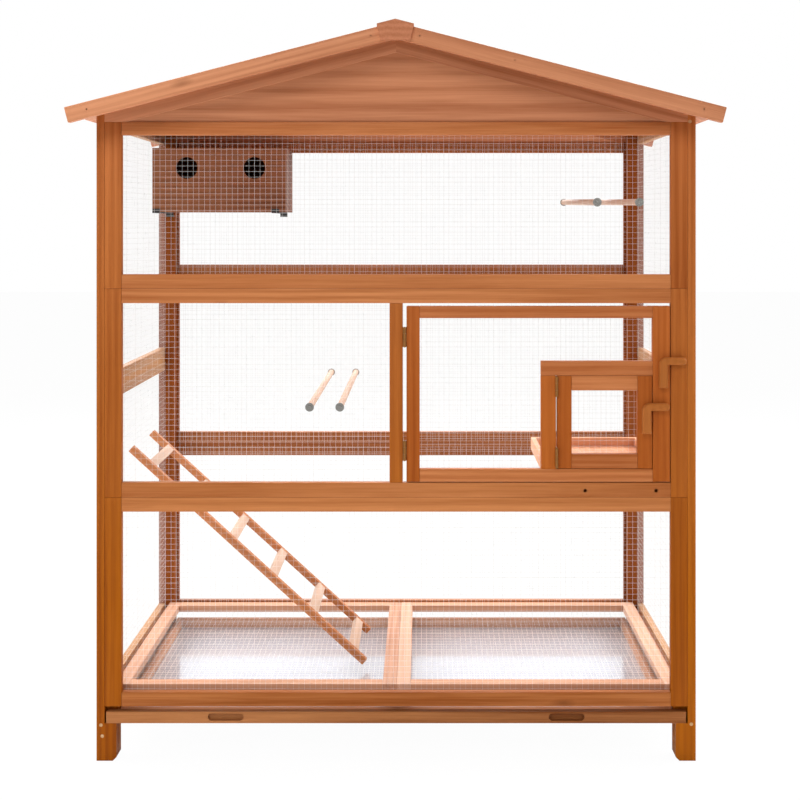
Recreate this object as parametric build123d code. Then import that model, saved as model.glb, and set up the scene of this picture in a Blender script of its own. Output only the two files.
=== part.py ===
from build123d import *
import math
import os

# Wooden bird breeding cage with a gable roof: every length is in millimetres.
# X runs to the right, Y to the back and Z up. The origin is on the ground, under the middle.

# Body: four posts, three frames on the front and the back, and rails on the sides
body_width = 1360.0
body_depth = 730.0
board = 18.0
post_width = 45.0
foot_height = 85.0
foot_chamfer = 8.0
post_joint_drop = 7.5
frame_start = 123.0
lower_frame_height = 474.5
middle_frame_height = 474.0
upper_frame_height = 378.5
stile = 38.5
back_stile = 33.0
lower_bottom_rail = 32.0
lower_top_rail = 32.5
middle_bottom_rail = 33.5
middle_top_rail = 33.0
upper_bottom_rail = 32.5
gable_rail = 30.0
mullion = 30.0
side_rail_start = 86.0
side_bottom_rail = 69.0
side_middle_rise = 211.5
side_middle_rail = 63.0
side_top_rail = 32.0

# Roof
roof_pitch_angle = 14.45
rafter_end_height = 28.52
roof_thickness = 15.0
eave_overhang = 52.0
roof_overhang = 62.0
rafter_height = 40.0
gable_board = 12.0
gable_recess = 3.0
barge_height = 35.0
ridge_cap_thickness = 5.5
ridge_cap_half_width = 41.0
ridge_plate_thickness = 8.0
ridge_plate_height = 47.0
ridge_plate_foot = 33.0

# Nets: every fifth wire of the real half inch mesh
net_wire = 1.0
net_pitch = 63.5
net_lap = 25.0
small_net_lap = 12.0

# Main door, feeder surround and small door
hinge_gap = 8.5
door_gap = 1.5
door_bottom_gap = 2.0
door_top_gap = 6.5
door_hinge_stile = 30.0
door_lock_stile = 39.5
door_top_rail = 27.5
door_bottom_rail = 29.0
feeder_width = 219.5
feeder_height = 212.0
surround_stile = 34.0
surround_rail = 33.0
small_hinge_gap = 2.5
small_door_gap = 1.5
small_door_bottom_gap = 1.0
small_door_top_gap = 0.5
small_door_member = 33.0

# Hinges
hinge_height = 45.0
hinge_end_margin = 48.0
small_hinge_end_margin = 1.5
knuckle_radius = 3.2
pin_radius = 1.5
main_leaf = 1.3
small_leaf = 1.0
leaf_depth = 15.0
pin_overhang = 1.0

# Turn latches
latch_arm = 62.0
latch_arm_width = 17.0
latch_leg = 52.0
latch_leg_width = 20.0
latch_thickness = 15.0
latch_pivot_from_end = 9.0
latch_corner = 16.0
latch_round = 8.0
latch_face_gap = 0.4
upper_latch_inset = 25.0
lower_latch_inset = 28.0
lower_latch_rise = 170.5
latch_spacing = 104.0

# Food tray and its brackets
tray_side_gap = 61.0
tray_width = 270.0
tray_depth = 282.0
tray_rise = 23.0
tray_wall_height = 30.5
tray_wall = 12.0
tray_floor = 10.0
tray_setback = 4.0
bracket_insets = (98.0, 259.0)
bracket_thickness = 16.0
bracket_foot_rise = 2.5
bracket_reach = 232.0
bracket_nose = 14.0
bracket_heel = 42.0
bracket_door_gap = 3.5

# Perches
perch_radius = 7.5
middle_perch_rise = 202.5
middle_perch_positions = (-198.0, -129.0)
upper_perch_drop = 182.0
upper_perch_slant = 12.0
upper_perch_insets = (203.0, 107.0)
washer_radius = 10.0
washer_thickness = 1.0

# Ladder
ladder_foot_place = 87.8
ladder_length = 774.5
ladder_rail = 17.0
ladder_rail_depths = (233.0, 469.0)
first_rung = 63.5
last_rung = 38.5
rung_width = 22.0
rung_count = 6

# Floor and drawer
floor_height = 140.0
floor_bar = 32.0
floor_side_gap = 13.0
floor_bearer = 32.0
bearer_height = 20.0
drawer_bottom = 85.3
drawer_front_inset = 22.0
drawer_front_top = 111.0
drawer_side_inset = 50.0
drawer_wall = 16.0
drawer_wall_top = 111.0
drawer_back_gap = 30.0
drawer_sheet = 1.2
slot_width = 81.0
slot_height = 17.0
slot_depth = 10.0
slot_from_end = 271.0
slot_centre_height = 99.0
runner_width = 40.0
runner_height = 10.0

# Nest box
nest_width = 354.5
nest_depth = 182.7
nest_drop = 199.0
nest_height = 170.0
nest_board = 10.0
nest_hole_radius = 29.0
nest_hole_spacing = 180.0
nest_hole_offset = 4.0
nest_hole_height = 117.0
hook_width = 20.0
hook_thickness = 3.0
hook_lip = 8.0
hook_tail = 12.0
hook_post_inset = 31.0
hook_net_inset = 26.8

# Screws and nails; the frame screws are placed in from the side and up from the ground or from the frames' top
left_high_screw = (10.0, 81.0)
left_low_screw = (13.0, 56.0)
right_low_screw = (10.0, 83.0)
right_top_screw = (13.0, 1.0)
bracket_screw_rise = 15.5
screw_head_radius = 4.0
screw_head_height = 2.5
screw_shank_radius = 2.0
screw_length = 32.0
latch_screw_head_radius = 4.0
latch_screw_length = 31.0
perch_screw_length = 22.0
nail_radius = 1.6
nail_positions = (54.0, 264.0)
nail_from_eave = 50.5
nail_drop = 17.0

# Fits
sheet_gap = 0.3
running_gap = 0.05
overrun = 5.0

half_width = body_width / 2
half_depth = body_depth / 2
inner_width = half_width - board
stile_edge = inner_width - stile
post_inner = half_width - post_width
lower_top = frame_start + lower_frame_height
middle_top = lower_top + middle_frame_height
upper_top = middle_top + upper_frame_height
net_thickness = net_wire + net_wire
slope = math.tan(math.radians(roof_pitch_angle))
slope_cos = math.cos(math.radians(roof_pitch_angle))
slope_sin = math.sin(math.radians(roof_pitch_angle))
barge_reach = half_depth + roof_overhang
eave_reach = half_width + eave_overhang
roof_peak = upper_top + rafter_end_height + roof_thickness / slope_cos + inner_width * slope
post_joint_height = lower_top - post_joint_drop
tray_left = inner_width - tray_side_gap - tray_width
bracket_positions = [tray_left + inset for inset in bracket_insets]
bracket_screw_height = lower_top + bracket_screw_rise
FRONT = -1
BACK = 1
LEFT = -1
RIGHT = 1


def roof_line(x, drop=0.0):
    """Height of a line under the roof's top face, with its drop taken square to the slope."""
    return roof_peak - drop / slope_cos - abs(x) * slope


def bar(x, y, z):
    """A straight board that fills three spans."""
    spans = [sorted(span) for span in (x, y, z)]
    corner = Pos(*[low for low, high in spans])
    return corner * Box(*[high - low for low, high in spans], align=(Align.MIN, Align.MIN, Align.MIN))


def inward(end, near, far):
    """A Y span measured from the outer face of the front or the back."""
    return (end * (half_depth - near), end * (half_depth - far))


def across(side, near, far):
    """An X span on the left or the right, measured from the middle."""
    return (side * near, side * far)


def profile_y(points, y):
    """A piece with an X-Z outline that is straight along Y."""
    low, high = sorted(y)
    outline = make_face(Polyline(*points, close=True))
    return extrude(Plane.XZ.offset(-high) * outline, amount=high - low)


def profile_x(points, x):
    """A piece with a Y-Z outline that is straight along X."""
    low, high = sorted(x)
    outline = make_face(Polyline(*points, close=True))
    return extrude(Plane.YZ.offset(low) * outline, amount=high - low)


def rod_y(x, z, radius, y):
    """A round rod along Y."""
    low, high = sorted(y)
    return extrude(Plane.XZ.offset(-high) * (Pos(x, z) * Circle(radius)), amount=high - low)


def rod_z(x, y, radius, z):
    """A round rod along Z."""
    low, high = sorted(z)
    return extrude(Plane.XY.offset(low) * (Pos(x, y) * Circle(radius)), amount=high - low)


def frame(x, y, z, left, right, bottom, top):
    """Two stiles that run through and two rails between them, as separate boards."""
    return [
        bar((x[0], x[0] + left), y, z),
        bar((x[1] - right, x[1]), y, z),
        bar((x[0] + left, x[1] - right), y, (z[0], z[0] + bottom)),
        bar((x[0] + left, x[1] - right), y, (z[1] - top, z[1])),
    ]


def wire_places(low, high, through):
    """Centres of the parallel wires of a net: one at each edge, and one through a given place."""
    first = through - net_pitch * math.floor((through - low - net_thickness) / net_pitch)
    count = math.floor((high - net_thickness - first) / net_pitch) + 1
    between = [first + net_pitch * number for number in range(count)]
    return [low + net_wire / 2] + between + [high - net_wire / 2]


def wire_span(place):
    """The width of a wire about its centre."""
    return (place - net_wire / 2, place + net_wire / 2)


def net_y(x, z, end, near, x_through=0.0, z_through=None):
    """A welded net parallel to the front: level wires on the timber, and upright wires on them."""
    middle = (z[0] + z[1]) / 2 if z_through is None else z_through
    outer = inward(end, near, near + net_wire)
    inner = inward(end, near + net_wire, near + net_thickness)
    level = [bar(x, outer, wire_span(place)) for place in wire_places(*z, middle)]
    upright = [bar(wire_span(place), inner, z) for place in wire_places(*x, x_through)]
    return level + upright


def net_x(side, near, y, z):
    """A welded net parallel to the sides."""
    outer = across(side, near - net_wire, near)
    inner = across(side, near - net_thickness, near - net_wire)
    level = [bar(outer, y, wire_span(place)) for place in wire_places(*z, (z[0] + z[1]) / 2)]
    upright = [bar(inner, wire_span(place), z) for place in wire_places(*y, 0.0)]
    return level + upright


def net_z(x, y, top):
    """A welded net that lies level under its frame."""
    upper = (top - net_wire, top)
    lower = (top - net_thickness, top - net_wire)
    wide = [bar(x, wire_span(place), upper) for place in wire_places(*y, 0.0)]
    deep = [bar(wire_span(place), y, lower) for place in wire_places(*x, (x[0] + x[1]) / 2)]
    return wide + deep


def screw_y(x, z, face, direction, head_radius, length, gap=0.0):
    """A countersunk screw along Y whose head is flush in a face; a gap makes its hole."""
    head = rod_y(x, z, head_radius + gap, (face, face + direction * (screw_head_height + gap)))
    shank = rod_y(x, z, screw_shank_radius + gap, (face, face + direction * (length + gap)))
    return head + shank


def save(node, solids):
    """One file for one named node."""
    export_step(Compound(children=list(solids)), "parts/" + node + ".step")


os.makedirs("parts", exist_ok=True)

# The screws that hold the front frames to the two lengths of each front post
post_screws = {
    (LEFT, "lower"): (left_high_screw, left_low_screw),
    (RIGHT, "lower"): (right_low_screw,),
    (RIGHT, "upper"): ((right_top_screw[0], upper_top + right_top_screw[1]),),
}
screw_places = [
    (side * (half_width - inset), height)
    for (side, tier), screws in post_screws.items()
    for inset, height in screws
]
post_top = roof_line(half_width, roof_thickness)


def post(side, end):
    """A corner post in two lengths, rebated above the foot so the frames lie flush in it."""
    def length(z, rebate_start, tier):
        whole = bar(across(side, post_inner, half_width), inward(end, 0.0, post_width), z)
        rebate = bar(
            across(side, post_inner - overrun, inner_width),
            inward(end, -overrun, board),
            (rebate_start, z[1] + overrun),
        )
        piece = whole - rebate
        if end == FRONT:
            for inset, height in post_screws.get((side, tier), ()):
                x = side * (half_width - inset)
                hole = screw_y(x, height, -half_depth, 1, screw_head_radius, screw_length, running_gap)
                piece = piece - hole
        return piece
    lower = length((0.0, post_joint_height), foot_height, "lower")
    foot_edge = lower.edges().filter_by(Axis.Y).sort_by(
        lambda edge: edge.center().Z + side * edge.center().X
    )[0]
    upper = length((post_joint_height, post_top), post_joint_height - overrun, "upper")
    return [chamfer(foot_edge, foot_chamfer), upper]


def tray_bracket_holes(solid):
    """Holes in the rail or a bracket for the two screws that hold the tray brackets."""
    for x in bracket_positions:
        solid = solid - screw_y(
            x, bracket_screw_height, -half_depth, 1, screw_head_radius, screw_length, running_gap
        )
    return solid


def end_frames(end):
    """The three frames that are stacked on the front or the back."""
    x = (-inner_width, inner_width)
    y = inward(end, 0.0, board)
    edge = stile if end == FRONT else back_stile
    lower = frame(x, y, (frame_start, lower_top), edge, edge, lower_bottom_rail, lower_top_rail)
    middle = frame(x, y, (lower_top, middle_top), edge, edge, middle_bottom_rail, middle_top_rail)
    upper = frame(x, y, (middle_top, upper_top), edge, edge, upper_bottom_rail, gable_rail)
    return lower, middle, upper


front_lower, front_middle, front_upper = end_frames(FRONT)
front_middle[2] = tray_bracket_holes(front_middle[2])
bay_bottom = lower_top + middle_bottom_rail
bay_top = middle_top - middle_top_rail
front_middle.append(bar((-mullion / 2, mullion / 2), inward(FRONT, 0.0, board), (bay_bottom, bay_top)))
back_lower, back_middle, back_upper = end_frames(BACK)

for side, side_name in ((LEFT, "left"), (RIGHT, "right")):
    save("front_" + side_name + "_post", post(side, FRONT))
    save("back_" + side_name + "_post", post(side, BACK))
save("front_lower_frame", front_lower)
save("front_upper_frame", front_upper)
save("back_lower_frame", back_lower)
save("back_middle_frame", back_middle)
save("back_upper_frame", back_upper)


side_middle_start = lower_top + side_middle_rise
side_middle_top = side_middle_start + side_middle_rail
side_rail_heights = (
    (side_rail_start, side_rail_start + side_bottom_rail),
    (side_middle_start, side_middle_top),
    (post_top - side_top_rail, post_top),
)
post_back = half_depth - post_width


def side_rails(side):
    """Three rails on the left or right side, fixed between the posts."""
    x = across(side, inner_width, half_width)
    return [bar(x, (-post_back, post_back), z) for z in side_rail_heights]


for side, side_name in ((LEFT, "left"), (RIGHT, "right")):
    save(side_name + "_rails", side_rails(side))

# Nets stapled inside the frames
net_edge = post_inner - sheet_gap


# The upper perches slope, since their back ends are screwed on one row of the real mesh higher
middle_perch_height = lower_top + middle_perch_rise
upper_perch_height = upper_top - upper_perch_drop
upper_perch_positions = [inner_width - inset for inset in upper_perch_insets]
wire_over_screw = screw_shank_radius + running_gap + net_wire / 2
middle_perch_end = {FRONT: middle_perch_height, BACK: middle_perch_height}
upper_perch_end = {FRONT: upper_perch_height, BACK: upper_perch_height + upper_perch_slant}
lower_net_z = (frame_start + lower_bottom_rail - net_lap, lower_top - lower_top_rail + net_lap)
middle_net_z = (bay_bottom - net_lap, bay_top + net_lap)
upper_net_z = (middle_top + upper_bottom_rail - net_lap, upper_top - gable_rail + net_lap)
whole_net_x = (-net_edge, net_edge)
left_bay_x = (-net_edge, mullion / 2)

between_middle_perches = sum(middle_perch_positions) / len(middle_perch_positions)
between_upper_perches = sum(upper_perch_positions) / len(upper_perch_positions)
for end, end_name, middle_net_x in ((FRONT, "front", left_bay_x), (BACK, "back", whole_net_x)):
    lower_net = net_y(whole_net_x, lower_net_z, end, board)
    middle_wire_height = middle_perch_height + wire_over_screw
    upper_wire_height = upper_perch_end[end] + wire_over_screw
    middle_net = net_y(middle_net_x, middle_net_z, end, board, between_middle_perches, middle_wire_height)
    upper_net = net_y(whole_net_x, upper_net_z, end, board, between_upper_perches, upper_wire_height)
    save(end_name + "_lower_net", lower_net)
    save(end_name + "_middle_net", middle_net)
    save(end_name + "_upper_net", upper_net)

side_net_y = (-(post_back - sheet_gap), post_back - sheet_gap)
floor_net_top = floor_height
side_net_bottom = floor_net_top + net_thickness
side_lower_net_z = (side_net_bottom, side_middle_start + net_lap)
side_upper_net_z = (side_middle_top - net_lap, post_top - side_top_rail + small_net_lap)
for side, side_name in ((LEFT, "left"), (RIGHT, "right")):
    lower_wires = net_x(side, inner_width, side_net_y, side_lower_net_z)
    upper_wires = net_x(side, inner_width, side_net_y, side_upper_net_z)
    save(side_name + "_nets", lower_wires + upper_wires)


def sloped(side, drop_top, drop_bottom, reach, y):
    """A board that follows the roof on one side, mitred at the ridge and cut square at the eave."""
    end_height = roof_line(reach)
    points = [
        (0.0, roof_line(0.0, drop_top)),
        (side * (reach - drop_top * slope_sin), end_height - drop_top * slope_cos),
        (side * (reach - drop_bottom * slope_sin), end_height - drop_bottom * slope_cos),
        (0.0, roof_line(0.0, drop_bottom)),
    ]
    return profile_y(points, y)


def rafter(side, end):
    """A board under the roof in line with the front or back frames, cut level above the gable rail."""
    bottom_drop = roof_thickness + rafter_height
    foot_x = (roof_line(0.0, bottom_drop) - upper_top) / slope
    points = [
        (0.0, roof_line(0.0, roof_thickness)),
        (side * inner_width, roof_line(inner_width, roof_thickness)),
        (side * inner_width, upper_top),
        (side * foot_x, upper_top),
        (0.0, roof_line(0.0, bottom_drop)),
    ]
    return profile_y(points, inward(end, 0.0, board))


def gable(end):
    """The triangular board that closes the gable between the rafters and the gable rail."""
    peak = roof_line(0.0, roof_thickness + rafter_height)
    foot_x = (peak - upper_top) / slope
    points = [(-foot_x, upper_top), (foot_x, upper_top), (0.0, peak)]
    return profile_y(points, inward(end, gable_recess, gable_recess + gable_board))


def nail_places(end):
    """Places of the nails along the barge boards, as X, Z and the outer face's Y."""
    face = end * (barge_reach + board)
    drop = nail_drop * slope_cos
    reaches = nail_positions + (eave_reach - nail_from_eave,)
    return [(side * x, roof_line(x, drop), face) for side in (LEFT, RIGHT) for x in reaches]


def barge(side, end):
    """A board nailed on the roof panel's front or back edge."""
    solid = sloped(side, 0.0, barge_height, eave_reach, (end * barge_reach, end * (barge_reach + board)))
    for x, z, face in nail_places(end):
        if x * side > 0:
            solid = solid - rod_y(x, z, nail_radius + running_gap, (face, face - end * (board + overrun)))
    return solid


def roof_panel(side):
    """One sloping half of the roof."""
    return sloped(side, 0.0, roof_thickness, eave_reach, (-barge_reach, barge_reach))


save("gable_boards", [gable(end) for end in (FRONT, BACK)])
save("rafters", [rafter(side, end) for side in (LEFT, RIGHT) for end in (FRONT, BACK)])
save("left_roof_panel", [roof_panel(LEFT)])
save("right_roof_panel", [roof_panel(RIGHT)])
save("barge_boards", [barge(side, end) for side in (LEFT, RIGHT) for end in (FRONT, BACK)])
nails = [
    rod_y(x, z, nail_radius, (face, face - end * board))
    for end in (FRONT, BACK)
    for x, z, face in nail_places(end)
]
save("barge_nails", nails)

# Ridge cap: an angle moulding with a shaped plate at each end
cap_points = [
    (0.0, roof_line(0.0)),
    (ridge_cap_half_width, roof_line(ridge_cap_half_width)),
    (ridge_cap_half_width, roof_line(ridge_cap_half_width, -ridge_cap_thickness)),
    (0.0, roof_line(0.0, -ridge_cap_thickness)),
    (-ridge_cap_half_width, roof_line(ridge_cap_half_width, -ridge_cap_thickness)),
    (-ridge_cap_half_width, roof_line(ridge_cap_half_width)),
]
cap_end = barge_reach + board
plate_foot_height = roof_line(0.0, -ridge_cap_thickness) - ridge_plate_height
plate_points = [
    (0.0, roof_line(0.0, -ridge_cap_thickness)),
    (ridge_cap_half_width, roof_line(ridge_cap_half_width, -ridge_cap_thickness)),
    (ridge_plate_foot, plate_foot_height),
    (-ridge_plate_foot, plate_foot_height),
    (-ridge_cap_half_width, roof_line(ridge_cap_half_width, -ridge_cap_thickness)),
]
save("ridge_cap", [profile_y(cap_points, (-cap_end, cap_end))])
plates = [
    profile_y(plate_points, (end * cap_end, end * (cap_end + ridge_plate_thickness)))
    for end in (FRONT, BACK)
]
save("ridge_end_plates", plates)

# Main door in the right bay
front_y = inward(FRONT, 0.0, board)
door_x = (mullion / 2 + hinge_gap, stile_edge - door_gap)
door_z = (bay_bottom + door_bottom_gap, bay_top - door_top_gap)
door_bars = frame(
    door_x, front_y, door_z, door_hinge_stile, door_lock_stile, door_bottom_rail, door_top_rail
)
feeder_x = (door_x[1] - door_lock_stile - feeder_width, door_x[1] - door_lock_stile)
feeder_z = (door_z[0] + door_bottom_rail, door_z[0] + door_bottom_rail + feeder_height)
surround_left = feeder_x[0] - surround_stile
surround_bars = [
    bar((surround_left, feeder_x[1]), front_y, (feeder_z[1], feeder_z[1] + surround_rail)),
    bar((surround_left, feeder_x[0]), front_y, feeder_z),
]
door_net_left = door_x[0] + door_hinge_stile - small_net_lap
door_net_right = door_x[1] - door_lock_stile + small_net_lap
door_net_seam = feeder_z[1] + surround_rail - small_net_lap
door_net_top = door_z[1] - door_top_rail + small_net_lap
door_net_bottom = feeder_z[0] - small_net_lap
door_net_middle = (door_net_left + door_net_right) / 2
upper_door_net_x = (door_net_left, door_net_right)
lower_door_net_x = (door_net_left, surround_left + small_net_lap)
door_wires = net_y(upper_door_net_x, (door_net_seam, door_net_top), FRONT, board, door_net_middle)
door_wires += net_y(lower_door_net_x, (door_net_bottom, door_net_seam), FRONT, board, door_net_middle)

# Small door over the food tray
small_x = (feeder_x[0] + small_hinge_gap, feeder_x[1] - small_door_gap)
small_z = (feeder_z[0] + small_door_bottom_gap, feeder_z[1] - small_door_top_gap)
small_bars = frame(
    small_x, front_y, small_z,
    small_door_member, small_door_member, small_door_member, small_door_member,
)
small_net_x = (small_x[0] + small_door_member - small_net_lap, small_x[1] - small_door_member + small_net_lap)
small_net_z = (small_z[0] + small_door_member - small_net_lap, small_z[1] - small_door_member + small_net_lap)
save("small_door_frame", small_bars)
save("small_door_net", net_y(small_net_x, small_net_z, FRONT, board, (small_x[0] + small_x[1]) / 2))


def hinge_parts(axis_x, axis_y, gap, leaf, centre_z):
    """One butt hinge: a fixed half with two knuckles, a moving half with one, and the pin."""
    low = centre_z - hinge_height / 2
    third = hinge_height / 3
    leaf_y = (-half_depth, -half_depth + leaf_depth)
    behind_knuckle = max(axis_y + knuckle_radius + sheet_gap, -half_depth)
    plate_y = (behind_knuckle, leaf_y[1])
    whole_z = (low, low + hinge_height)
    bore = rod_z(axis_x, axis_y, pin_radius + running_gap, (low - overrun, low + hinge_height + overrun))

    def half(inner_x, outer_x, knuckle_spans):
        piece = bar((inner_x, outer_x), plate_y, whole_z)
        for z in knuckle_spans:
            piece = piece + rod_z(axis_x, axis_y, knuckle_radius, z)
            piece = piece + bar((inner_x, outer_x), (axis_y, plate_y[1]), z)
        return piece - bore

    fixed_x = axis_x - gap / 2
    moving_x = axis_x + gap / 2
    fixed = half(fixed_x, fixed_x + leaf, [
        (low, low + third - sheet_gap),
        (low + hinge_height - third + sheet_gap, low + hinge_height),
    ])
    moving = half(moving_x - leaf, moving_x, [(low + third, low + hinge_height - third)])
    pin = rod_z(axis_x, axis_y, pin_radius, (low - pin_overhang, low + hinge_height + pin_overhang))
    return fixed, moving, pin


# The main door's hinges sit in the gap beside the mullion
main_axis_x = (mullion / 2 + door_x[0]) / 2
main_axis_y = -half_depth
main_heights = (
    door_z[1] - hinge_end_margin - hinge_height / 2,
    door_z[0] + hinge_end_margin + hinge_height / 2,
)
main_hinges = [hinge_parts(main_axis_x, main_axis_y, hinge_gap, main_leaf, z) for z in main_heights]
save("main_hinge_fixed_halves", [part for fixed, moving, pin in main_hinges for part in (fixed, pin)])
save("main_hinge_door_halves", [moving for fixed, moving, pin in main_hinges])

# The small door's hinges stand proud of the faces, because its gap is narrow
small_axis_x = (feeder_x[0] + small_x[0]) / 2
small_axis_y = -half_depth - knuckle_radius - sheet_gap
small_heights = (
    small_z[1] - small_hinge_end_margin - hinge_height / 2,
    small_z[0] + small_hinge_end_margin + hinge_height / 2,
)
small_hinges = [
    hinge_parts(small_axis_x, small_axis_y, small_hinge_gap, small_leaf, z)
    for z in small_heights
]
save("small_hinge_fixed_halves", [part for fixed, moving, pin in small_hinges for part in (fixed, pin)])
save("small_hinge_door_halves", [moving for fixed, moving, pin in small_hinges])

# Turn latches
latch_face = -half_depth - latch_face_gap
latch_front = latch_face - latch_thickness


def latch_screw(pivot_x, pivot_z, gap=0.0):
    """The screw that a latch turns on; a gap makes its hole."""
    return screw_y(pivot_x, pivot_z, latch_front, 1, latch_screw_head_radius, latch_screw_length, gap)


def latch(pivot_x, pivot_z):
    """A wooden latch with an arm to its screw and a leg that hangs over the door."""
    right = pivot_x + latch_pivot_from_end
    left = right - latch_arm
    top = pivot_z + latch_arm_width / 2
    bottom = top - latch_arm_width
    points = [
        (left, top),
        (right, top),
        (right, bottom),
        (left + latch_leg_width, bottom),
        (left + latch_leg_width, bottom - latch_leg),
        (left, bottom - latch_leg),
    ]
    radii = [latch_corner, latch_round, latch_round, 0.0, 0.0, 0.0]
    outline = make_face(FilletPolyline(*points, radius=radii, close=True))
    solid = extrude(Plane.XZ.offset(-latch_face) * outline, amount=latch_thickness)
    return solid - latch_screw(pivot_x, pivot_z, running_gap)


lower_pivot = (door_x[1] - door_lock_stile + lower_latch_inset, door_z[0] + lower_latch_rise)
upper_pivot = (stile_edge + upper_latch_inset, lower_pivot[1] + latch_spacing)
front_middle[1] = front_middle[1] - latch_screw(*upper_pivot, running_gap)
door_bars[1] = door_bars[1] - latch_screw(*lower_pivot, running_gap)
save("front_middle_frame", front_middle)
save("main_door_frame", door_bars)
save("main_door_surround", surround_bars)
save("main_door_net", door_wires)
save("upper_latch", [latch(*upper_pivot)])
save("lower_latch", [latch(*lower_pivot)])
save("upper_latch_screw", [latch_screw(*upper_pivot)])
save("lower_latch_screw", [latch_screw(*lower_pivot)])

# Screws in the front
screw_places += [(x, bracket_screw_height) for x in bracket_positions]
screws = [screw_y(x, z, -half_depth, 1, screw_head_radius, screw_length) for x, z in screw_places]
save("frame_screws", screws)

# Food tray: five boards on two brackets behind the middle frame's bottom rail
tray_bottom = bay_bottom + tray_rise
tray_x = (tray_left, tray_left + tray_width)
tray_start = -half_depth + board + tray_setback
tray_y = (tray_start, tray_start + tray_depth)
tray_floor_top = tray_bottom + tray_floor
tray_wall_z = (tray_floor_top, tray_bottom + tray_wall_height)
inner_tray_x = (tray_x[0] + tray_wall, tray_x[1] - tray_wall)
tray_boards = [
    bar(tray_x, tray_y, (tray_bottom, tray_floor_top)),
    bar(tray_x, (tray_y[0], tray_y[0] + tray_wall), tray_wall_z),
    bar(tray_x, (tray_y[1] - tray_wall, tray_y[1]), tray_wall_z),
    bar((tray_x[0], inner_tray_x[0]), (tray_y[0] + tray_wall, tray_y[1] - tray_wall), tray_wall_z),
    bar((inner_tray_x[1], tray_x[1]), (tray_y[0] + tray_wall, tray_y[1] - tray_wall), tray_wall_z),
]
save("food_tray", tray_boards)


bracket_foot = lower_top + bracket_foot_rise


def tray_bracket(x):
    """A wooden bracket screwed to the back of the rail, with the tray on top."""
    back_of_rail = -half_depth + board
    clear_of_door = back_of_rail + bracket_door_gap
    points = [
        (back_of_rail, bracket_foot),
        (back_of_rail, bay_bottom - sheet_gap),
        (clear_of_door, bay_bottom - sheet_gap),
        (clear_of_door, tray_bottom),
        (back_of_rail + bracket_reach, tray_bottom),
        (back_of_rail + bracket_reach, tray_bottom - bracket_nose),
        (back_of_rail + bracket_heel, bracket_foot),
    ]
    return profile_x(points, (x - bracket_thickness / 2, x + bracket_thickness / 2))


save("food_tray_brackets", [tray_bracket_holes(tray_bracket(x)) for x in bracket_positions])

# Perches between the front and back nets, with a washer and a screw at each end
perch_reach = half_depth - board - net_wire
perch_places = [(x, middle_perch_end) for x in middle_perch_positions]
perch_places += [(x, upper_perch_end) for x in upper_perch_positions]


def perch(x, front_z, back_z):
    """A dowel between the front and back nets, cut so that its ends lie flat on them."""
    axis = Plane(origin=(x, 0, (front_z + back_z) / 2), z_dir=(0, 2 * perch_reach, back_z - front_z))
    dowel = axis * Cylinder(perch_radius, 2 * (perch_reach + overrun))
    between_nets = bar(
        (x - perch_radius, x + perch_radius),
        (-perch_reach, perch_reach),
        (front_z - perch_radius - overrun, back_z + perch_radius + overrun),
    )
    return dowel & between_nets


perches = []
perch_fixings = []
for x, end_heights in perch_places:
    dowel = perch(x, end_heights[FRONT], end_heights[BACK])
    for end, z in end_heights.items():
        outer_wire_face = end * (half_depth - board)
        washer_face = outer_wire_face + end * washer_thickness
        screw_tip = outer_wire_face - end * perch_screw_length
        hole = rod_y(x, z, screw_shank_radius + running_gap, (washer_face, screw_tip))
        washer = rod_y(x, z, washer_radius, (outer_wire_face, washer_face))
        head = rod_y(x, z, screw_head_radius, (washer_face, washer_face + end * screw_head_height))
        shank = rod_y(x, z, screw_shank_radius, (washer_face, screw_tip))
        dowel = dowel - hole
        perch_fixings += [washer - hole, head + shank]
    perches.append(dowel)
save("perches", perches)
save("perch_fixings", perch_fixings)

# Ladder: two rails and the rungs between them, from the left net down to the floor net
ladder_top_x = -inner_width + net_thickness + sheet_gap
ladder_angle = math.acos((-ladder_foot_place - ladder_top_x) / ladder_length)
ladder_cos = math.cos(ladder_angle)
ladder_sin = math.sin(ladder_angle)
ladder_foot_z = floor_net_top + sheet_gap
ladder_top_z = ladder_foot_z + ladder_length * ladder_sin


def ladder_point(along, above):
    """A place on the ladder, measured down its lower edge and square to it."""
    return (
        ladder_top_x + along * ladder_cos + above * ladder_sin,
        ladder_top_z - along * ladder_sin + above * ladder_cos,
    )


def ladder_piece(start, end, y):
    """A length of ladder timber, as thick as a rail."""
    corners = [(start, 0.0), (end, 0.0), (end, ladder_rail), (start, ladder_rail)]
    return profile_y([ladder_point(*corner) for corner in corners], y)


rail_centres = [-half_depth + depth for depth in ladder_rail_depths]
rails = [ladder_piece(0.0, ladder_length, (y - ladder_rail / 2, y + ladder_rail / 2)) for y in rail_centres]
rung_y = (rail_centres[0] + ladder_rail / 2, rail_centres[1] - ladder_rail / 2)
rung_step = (ladder_length - first_rung - last_rung) / (rung_count - 1)
rungs = []
for number in range(rung_count):
    rung_centre = first_rung + rung_step * number
    rungs.append(ladder_piece(rung_centre - rung_width / 2, rung_centre + rung_width / 2, rung_y))
save("ladder_rails", rails)
save("ladder_rungs", rungs)

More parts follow.
